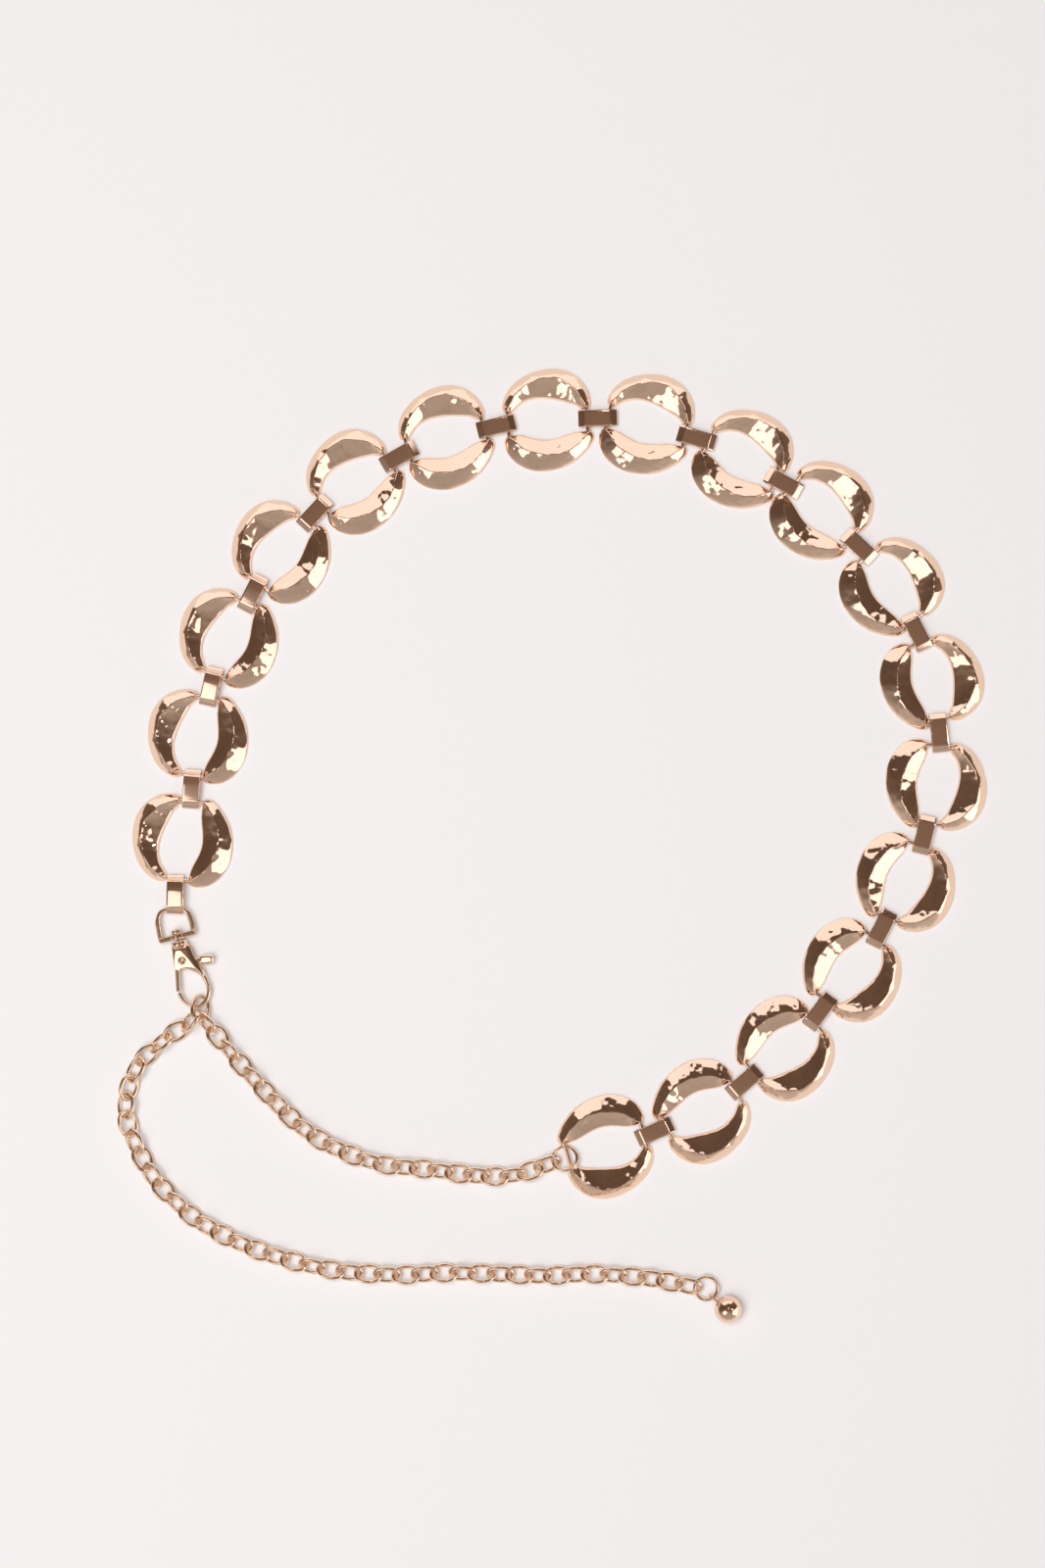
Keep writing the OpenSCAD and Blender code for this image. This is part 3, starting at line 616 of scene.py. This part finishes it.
def disc_places():
    """Middle and turn in degrees of each disc."""
    places = []
    last = len(DISC_ROUTE) - 1
    for i, (x, y, lean) in enumerate(DISC_ROUTE):
        before, after = DISC_ROUTE[max(i - 1, 0)], DISC_ROUTE[min(i + 1, last)]
        turn = lean + math.degrees(math.atan2(after[1] - before[1], after[0] - before[0]))
        places.append((Vector((x, y, 0)) * DISC_PITCH, turn))
    return places


def lay_discs(places):
    """The discs, all of one mesh."""
    mesh = to_mesh("disc", joined([
        crescent(OUTER_CRESCENT, OUTER_SEED), crescent(INNER_CRESCENT, INNER_SEED),
        disc_bar(BAR_X, FRONT_BAR), disc_bar(-BAR_X, REAR_BAR)]))
    for i, (middle, turn) in enumerate(places):
        node = f"disc_{i + 1:02d}"
        piece = new_object(f"hammered_{node}", mesh, DISC_GOLD)
        piece.matrix_world = (Matrix.Translation(middle * MM)
                              @ Matrix.Rotation(math.radians(turn), 4, "Z"))
        dress(piece, "belt", "rose_gold_disc", node)


# Straps
def strap_shell(across=0.0, along=0.0):
    """Folded band: a flat top, sloped and rolled ends and two flaps that meet beneath.
    across and along are the slopes of its top, which rises to a bend past the middle."""
    half, r = STRAP_LENGTH / 2, (STRAP_THICK - STRAP_SHEET) / 2
    # Middle line of the sheet, X and Z, from a flap's end round to the middle of the top
    side = [(0.2, -r), (2.5, -r), (half - 1.6, -r), (half - 0.85, 0.10 - r),
            (half - 0.35, 0.50 - r), (half - 0.25, 0.95 - r), (half - 0.50, 0.06),
            (half - 0.95, 0.34), (half - 1.6, 0.71), (half - 2.2, 1.03), (half - 2.6, r),
            (half - 3.4, r + 0.02), (2.0, r + 0.05)]
    path = smooth_rows(side + [(-x, z) for x, z in reversed(side)], 3)
    h, w, e, crown = STRAP_SHEET / 2, STRAP_WIDTH / 2, SHEET_ROUND, SHEET_CROWN
    # Section of the sheet, Y and the way outwards
    section = [(-w, -h + e), (-w, h - e), (-w + 0.3 * e, h - 0.3 * e), (-w + e, h),
               (-w + 5 * e, h + 0.6 * crown), (0, h + crown), (w - 5 * e, h + 0.6 * crown),
               (w - e, h), (w - 0.3 * e, h - 0.3 * e), (w, h - e), (w, -h + e), (w - e, -h),
               (0, -h), (-w + e, -h)]
    rings = []
    for i, (x, z) in enumerate(path):
        p, q = path[max(i - 1, 0)], path[min(i + 1, len(path) - 1)]
        way = Vector((q[0] - p[0], q[1] - p[1])).normalized()
        out = Vector((way.y, -way.x))
        lift = min(1, max(0, (half - SLOPE_FROM - abs(x)) / SLOPE_FADE)) if z > TOP_FROM else 0
        rise = along * min(x + half, STRAP_LENGTH * SLOPE_BEND)
        rings.append([(x + out.x * o, y, z + out.y * o + lift * (across * (w - y) + rise))
                      for y, o in section])
    return shell(rings)


def lay_straps(places):
    """The straps at the places of the CAD's, each pointing away from the clasp along the row."""
    flat = to_mesh("strap", strap_shell())
    leaning = {i: to_mesh(f"leaning_strap_{i + 1}", strap_shell(*slopes))
               for i, slopes in STRAP_SLOPES.items()}
    before = CLASP_AT
    for i, (middle, _) in enumerate(places):
        node = f"strap_{i + 1:02d}"
        place = solid_places(node)[0]
        if Vector(place.col[0][:3]).dot(middle - before) < 0:
            place = place @ Matrix.Rotation(math.pi, 4, "Z")
        before = middle
        piece = new_object(f"folded_{node}", leaning.get(i, flat), FITTING_GOLD)
        place.translation *= MM
        piece.matrix_world = place
        dress(piece, "belt", "rose_gold_fitting", node)


# Chain
def link_shell():
    """One oval link, a little fuller than an ellipse at its ends."""
    a, b = (LINK_LENGTH - LINK_WIRE) / 2, (LINK_WIDTH - LINK_WIRE) / 2
    steps = 56
    path = []
    for k in range(steps):
        t = math.tau * k / steps
        c, s = math.cos(t), math.sin(t)
        path.append((a * math.copysign(abs(c) ** LINK_FULLNESS[0], c),
                     b * math.copysign(abs(s) ** LINK_FULLNESS[1], s), 0))
    return swept(path, LINK_WIRE / 2, closed=True, sides=16)


def settled(place, held_at):
    """A link's place, its roll nearer to its neighbours'. Links near the hook's stay as they
    are."""
    if (place.translation - held_at).length < 2 * LINK_LENGTH:
        return place
    x, z = (Vector(place.col[k][:3]) for k in (0, 2))
    up = (Vector((0, 0, 1)) - x * x.z).normalized()
    roll = math.atan2(z.dot(up.cross(x)), z.dot(up))
    now = abs(roll) + (STEEP_TURN if abs(roll) > STEEP else FLAT_TURN)
    out = place @ Matrix.Rotation(roll - math.copysign(now, roll), 4, "X")
    out.translation.z += (LINK_WIDTH - LINK_WIRE) / 4 * (math.sin(now) - math.sin(abs(roll)))
    return out


def chain_piece(name, node, part):
    """A shell on each solid of a CAD node."""
    places = solid_places(node)
    if len(places) > 1:
        held_at = solid_places("held_link")[0].translation
        places = [settled(m, held_at) for m in places]
    mesh = to_mesh(name, joined([moved(part, m) for m in places]))
    # The links take the lighter copy of the rose gold, which paints in brighter reflections
    dress(new_object(name, mesh, PAINTED_LIGHT_GOLD), "belt", "rose_gold_fitting", node)


def lay_chain():
    link = link_shell()
    chain_piece("oval_links_closing", "chain_closing", link)
    chain_piece("oval_links_tail", "chain_tail", link)
    chain_piece("oval_link_held", "held_link", link)
    chain_piece("jump_ring_end", "end_ring", ring_shell(END_RING_D, RING_WIRE))
    chain_piece("jump_ring_tail", "tail_ring", ring_shell(TAIL_RING_D, RING_WIRE))


# Ball
def ball_shell():
    """Ball with a flared stem and an eye."""
    r = BALL_D / 2
    profile = [(max(r * math.sin(t), POLE), r * -math.cos(t)) for t in np.linspace(0, math.pi, 49)]
    reach = BALL_AT - EYE_AT
    turn = Vector((1, 0, 0)).rotation_difference(reach).to_matrix().to_4x4()
    ball = moved(lathe(profile, 72), Matrix.Translation(BALL_AT))
    steps = 10
    stem_path = [(x, 0, 0) for x in np.linspace(STEM_FROM, reach.length - r + STEM_SUNK, steps)]
    thin, gain = STEM_FLARE
    flare = [STEM_D / 2 * (thin + gain * (k / (steps - 1)) ** 3) for k in range(steps)]
    stem = swept(stem_path, np.array([flare, flare]).T, sides=20)
    eye = moved(ring_shell(EYE_BORE + 2 * EYE_WIRE, EYE_WIRE), Matrix.Rotation(math.pi / 2, 4, "X"))
    head = moved(joined([stem, eye]), Matrix.Translation(EYE_AT) @ turn)
    return joined([ball, head])


def lay_ball():
    mesh = to_mesh("end_ball", ball_shell())
    dress(new_object("end_ball", mesh, FITTING_GOLD), "belt", "rose_gold_fitting", "tail_ball")


# Clasp
def bow_shell():
    """Swivel bow with its foot, and the foot's round collar with the post's bore."""
    foot = BOW_FOOT_Y + BOW_FOOT / 2
    path = [(x * BOW_WIDTH / 2, foot + y * (BOW_REACH - foot), 0)
            for x, y in smooth_rows(BOW_ROUTE, 6)]
    thick = BOW_WIRE / 2
    half = [(thick + BOW_FLARE * min(1, max(0, (foot + FLARE_END - y) / FLARE_FADE)), thick)
            for _, y, _ in path]
    low, high = BOW_FOOT_Y, BOW_FOOT_Y + BOW_FOOT
    inset, rise = FOOT_BEVEL
    collar = [(FOOT_BORE_R, low), (FOOT_COLLAR_R - inset, low), (FOOT_COLLAR_R, low + rise),
              (FOOT_COLLAR_R, high - rise), (FOOT_COLLAR_R - inset, high), (FOOT_BORE_R, high)]
    size = (BOW_WIDTH, BOW_FOOT, BOW_WIRE + FOOT_PROUD)
    return joined([swept(path, half, sides=24, squareness=3.2),
                   rounded_block((0, foot, 0), size, FOOT_ROUND), along_y(collar)])


def cheek_height(d, x, y):
    """A steep rim, sloped side facets and a face that leans towards the gate."""
    rim = CHEEK_RIM + RIM_SLOPE * min(d, RIM_WIDTH) + FACET_SLOPE * max(d - RIM_WIDTH, 0)
    face = min(FACE_TOP, FACE_LEVEL + FACE_LEAN_X * x + FACE_LEAN_Y * y)
    blend = min(max(0.5 + (face - rim) / FACE_BLEND, 0), 1)
    return face + (rim - face) * blend - FACE_BLEND / 2 * blend * (1 - blend)


def hook_shell():
    """Hook with its body of two cheeks, its rod, and the swivel post with its collar."""
    cheek = pillow([(x * HOOK_SPAN, y) for x, y in BODY], SLOT / 2, cheek_height)
    rod = smooth_rows([(x * HOOK_SPAN, y * HOOK_REACH, d * HOOK_WIRE / 2)
                       for x, y, d in ROD_ROUTE], 6)
    root = [(x * HOOK_SPAN, y) for x, y in ROD_ROOT]
    return joined([cheek, moved(cheek, Matrix.Diagonal((1, 1, -1, 1))),
                   prism(BRIDGE, -CORE_HALF, CORE_HALF), prism(root, -CORE_HALF, CORE_HALF),
                   swept([(x, y, 0) for x, y, d in rod], [(d, d) for x, y, d in rod], sides=24),
                   along_y(POST)])


def lever_shell():
    """Gate and thumb tab, each on an arm from the hub."""
    steps = 16
    gate = [(*GATE_TOP.lerp(GATE_END, t), 0) for t in np.linspace(-GATE_PAST, 1, steps)]
    hub = HUB_D / 2
    barrel = [(HUB_BORE_R, -HUB_HALF), (hub, -HUB_HALF), (hub, HUB_HALF), (HUB_BORE_R, HUB_HALF)]
    gate_arm = [(RIVET_X, 0, 0), (RIVET_X - 1.4, -1.7, 0), (-3.1, -3.2, 0)]
    # The tab's arm is a little steeper than the tab
    arm_way = TAB_WAY * 1.4
    tab_arm = [(RIVET_X + d * math.cos(arm_way), d * math.sin(arm_way), 0)
               for d in np.linspace(0, TAB_LEVEL_AT, 8)]
    tab = [(RIVET_X + d * math.cos(TAB_WAY), d * math.sin(TAB_WAY) + TAB_OFF,
            TAB_RISE * (d - TAB_LEVEL_AT)) for d in np.linspace(TAB_FROM, TAB_TO, 18)]
    tab_half = np.array([rounded_ends(tab, size) for size in TAB_HALF]).T
    return joined([swept(gate, np.array([GATE_HALF] * steps), sides=20, squareness=3),
                   lathe(barrel, 32),
                   swept(gate_arm, GATE_ARM, sides=12, squareness=4),
                   swept(tab_arm, TAB_ARM, sides=12, squareness=4),
                   swept(tab, tab_half, sides=32, squareness=3, up=(0, TAB_TILT, 1))])


def rivet_shell():
    """Tubular rivet with a rolled head at each end."""
    top = HOOK_THICK / 2 + RIVET_PROUD
    profile = [(r, top + z) for r, z in RIVET_HEAD]
    profile += [(r, -top - z) for r, z in reversed(RIVET_HEAD)]
    return moved(lathe(profile, 48), Matrix.Translation((RIVET_X, 0, 0)))


def clasp_piece(name, part, body, node, voxel=0.0, smooth=0):
    """A shell at the clasp's place. voxel fuses its parts at that size and smooth relaxes
    them in as many rounds."""
    # The clasp takes the lighter copy of the rose gold, which paints in brighter reflections
    piece = new_object(name, to_mesh(name, part), PAINTED_LIGHT_GOLD)
    if voxel:
        remesh = piece.modifiers.new("fuse", "REMESH")
        remesh.mode = "VOXEL"
        remesh.voxel_size = voxel * MM
        relax = piece.modifiers.new("relax", "SMOOTH")
        relax.factor = 0.5
        relax.iterations = smooth
        apply_modifiers(piece)
    piece.matrix_world = (Matrix.Translation(CLASP_AT * MM)
                          @ Matrix.Rotation(math.radians(CLASP_TURN), 4, "Z"))
    dress(piece, body, "rose_gold_fitting", node)


def lay_clasp():
    clasp_piece("swivel_bow", bow_shell(), "belt", "clasp_bow", 0.11, 4)
    clasp_piece("snap_hook", hook_shell(), "hook", "clasp_hook", 0.12, 5)
    clasp_piece("gate_lever", lever_shell(), "lever", "clasp_lever", 0.10, 4)
    clasp_piece("tube_rivet", rivet_shell(), "hook", "clasp_rivet")


# Floor, lamps, world and camera
def paper():
    """Off-white paper with a faint uneven tone."""
    mat = bpy.data.materials.new("paper")
    mat.use_nodes = True
    nodes, links = mat.node_tree.nodes, mat.node_tree.links
    bsdf = nodes["Principled BSDF"]
    bsdf.inputs["Roughness"].default_value = 0.9
    bsdf.inputs["Specular IOR Level"].default_value = 0.1
    grain = nodes.new("ShaderNodeTexNoise")
    grain.inputs["Scale"].default_value = 9
    tone = nodes.new("ShaderNodeValToRGB")
    tone.color_ramp.elements[0].color = (0.86, 0.84, 0.85, 1)
    tone.color_ramp.elements[1].color = (0.90, 0.885, 0.89, 1)
    links.new(grain.outputs["Fac"], tone.inputs["Fac"])
    links.new(tone.outputs["Color"], bsdf.inputs["Base Color"])
    return mat


def lay_floor():
    r = FLOOR_REACH
    mesh = bpy.data.meshes.new("floor")
    mesh.from_pydata([(-r, -r, 0), (r, -r, 0), (r, r, 0), (-r, r, 0)], [], [(0, 1, 2, 3)])
    floor = new_object("floor", mesh, paper())


def lamp(name, at, aim, size, power, roll=0.0, glossy=True, diffuse=True):
    """Rectangular lamp, size width and height in metres. glossy says that the metal mirrors
    it, and diffuse that it lights the floor."""
    light = bpy.data.lights.new(name, "AREA")
    light.shape = "RECTANGLE"
    light.size, light.size_y = size
    light.energy = power
    light.color = MIRRORED_TINT if glossy else HIDDEN_TINT
    obj = bpy.data.objects.new(name, light)
    bpy.context.scene.collection.objects.link(obj)
    obj.location = at
    turn = (Vector(aim) - Vector(at)).to_track_quat("-Z", "Y").to_matrix()
    obj.rotation_euler = (turn @ Matrix.Rotation(math.radians(roll), 3, "Z")).to_euler()
    obj.visible_camera = False
    obj.visible_glossy = glossy
    obj.visible_diffuse = diffuse


def hang_lamps():
    middle = (0, 0, 0)
    lamp("softbox_west", (-0.72, -0.66, 1.30), middle, (0.76, 0.95), 3.0)
    lamp("softbox_east", (0.70, -0.38, 0.40), (0, -0.38, 0.40), (0.58, 1.0), 2.5, roll=15,
         diffuse=False)
    lamp("spot_north", (0.13, 0.92, 3.0), middle, (0.22, 0.22), 1.2)
    lamp("spot_east", (0.79, 0.06, 1.16), middle, (0.12, 0.12), 0.5)
    lamp("card_north_west", (-0.34, 0.52, 0.27), (-0.34, 0, 0.27), (0.54, 0.54), 1.0,
         diffuse=False)
    lamp("card_north_east", (0.19, 0.52, 0.20), (0.19, 0, 0.20), (0.52, 0.40), 0.7,
         diffuse=False)
    lamp("overhead", (-0.58, 0.05, 2.8), (-0.03, 0.03, 0), (1.7, 1.7), 64, glossy=False)


def studio():
    """World: a dim dome, greyer to the south, with soft uneven patches."""
    world = bpy.data.worlds.new("studio")
    world.use_nodes = True
    nodes, links = world.node_tree.nodes, world.node_tree.links
    toward = nodes.new("ShaderNodeTexCoord").outputs["Generated"]
    patches = nodes.new("ShaderNodeTexNoise")
    patches.inputs["Scale"].default_value = 2.6
    patches.inputs["Detail"].default_value = 5
    patches.inputs["Roughness"].default_value = 0.6
    links.new(toward, patches.inputs["Vector"])
    axes = nodes.new("ShaderNodeSeparateXYZ")
    links.new(toward, axes.inputs["Vector"])
    south = nodes.new("ShaderNodeMath")
    south.operation = "MULTIPLY_ADD"
    south.inputs[1].default_value = 0.35
    links.new(patches.outputs["Fac"], south.inputs[0])
    links.new(axes.outputs["Y"], south.inputs[2])
    shift = nodes.new("ShaderNodeMapRange")
    shift.inputs["From Min"].default_value = -0.50
    shift.inputs["From Max"].default_value = 0.35
    links.new(south.outputs["Value"], shift.inputs["Value"])
    tone = nodes.new("ShaderNodeValToRGB")
    tone.color_ramp.elements[0].color = (0.42, 0.39, 0.38, 1)
    tone.color_ramp.elements[1].color = (0.115, 0.080, 0.062, 1)
    tone.color_ramp.elements.new(0.7).color = (0.14, 0.102, 0.082, 1)
    links.new(shift.outputs["Result"], tone.inputs["Fac"])
    links.new(tone.outputs["Color"], nodes["Background"].inputs["Color"])
    height = nodes.new("ShaderNodeValToRGB")
    while len(height.color_ramp.elements) < len(SKY_LEVELS):
        height.color_ramp.elements.new(0.5)
    for stop, (place, level) in zip(height.color_ramp.elements, SKY_LEVELS):
        stop.position = place
        stop.color = (level, level, level, 1)
    links.new(axes.outputs["Z"], height.inputs["Fac"])
    links.new(height.outputs["Color"], nodes["Background"].inputs["Strength"])
    bpy.context.scene.world = world


def set_camera():
    camera = bpy.data.objects.new("camera", bpy.data.cameras.new("camera"))
    bpy.context.scene.collection.objects.link(camera)
    camera.location = CAMERA_AT
    camera.data.sensor_fit = "VERTICAL"
    camera.data.sensor_height = SENSOR
    camera.data.lens = SENSOR * (CAMERA_AT.z - FRAME_LEVEL) / FRAME_HEIGHT
    bpy.context.scene.camera = camera
    bpy.context.scene.view_settings.view_transform = "Standard"


places = disc_places()
lay_discs(places)
lay_straps(places)
lay_chain()
lay_ball()
lay_clasp()
lay_floor()
hang_lamps()
studio()
set_camera()
